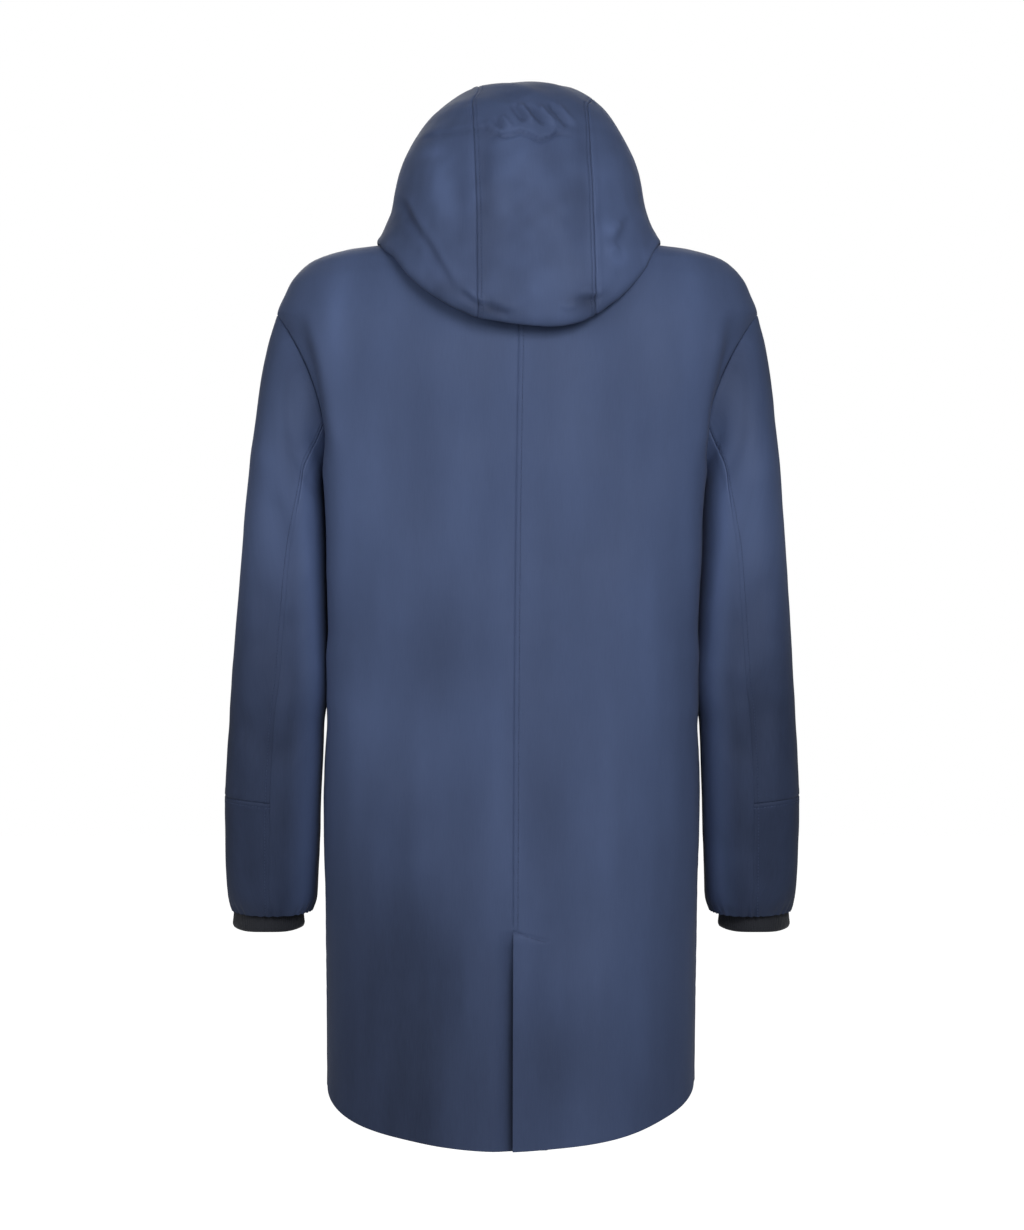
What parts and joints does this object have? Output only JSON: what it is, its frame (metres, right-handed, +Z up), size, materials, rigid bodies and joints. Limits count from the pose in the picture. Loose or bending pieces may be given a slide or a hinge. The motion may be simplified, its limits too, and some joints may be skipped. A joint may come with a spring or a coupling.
{
  "type": "windbreaker",
  "caption": "Long hooded windbreaker in thin navy cloth, filled out as worn: full front zip, straight sleeves with elastic cuffs, curved hem with a back vent.",
  "frame": {"origin": "the middle of the wearer's neck at the height of the neck seam's sides, where the wearer holds the garment up", "axes": "+Z up, -Y the way the wearer faces, +X to the wearer's left"},
  "size_m": [0.5744, 0.2834, 1.055],
  "materials": {
    "navy_shell": "matte woven nylon",
    "black_elastic": "matte ribbed elastic",
    "zip_tape": "black woven tape with a closed coil",
    "gunmetal": "dark satin metal"
  },
  "bodies": {
    "garment": {"back_left": "navy_shell", "back_right": "navy_shell", "front_left": "navy_shell", "front_right": "navy_shell", "sleeve_top_left": "navy_shell", "sleeve_top_right": "navy_shell", "sleeve_under_left": "navy_shell", "sleeve_under_right": "navy_shell", "forearm_left": "navy_shell", "forearm_right": "navy_shell", "hood_centre": "navy_shell", "hood_left": "navy_shell", "hood_right": "navy_shell", "cuff_left": "black_elastic", "cuff_right": "black_elastic", "zip_left": "zip_tape", "zip_right": "zip_tape", "zip_slider": "gunmetal"},
    "pull": {"zip_pull": "gunmetal"}
  },
  "joints": [
    {"name": "zip_pull_swing", "type": "hinge", "parent": "garment", "child": "pull", "pos_m": [0, -0.11099, -0.00618], "axis": [-1, 0, 0], "range_deg": [-12, 150]}
  ]
}
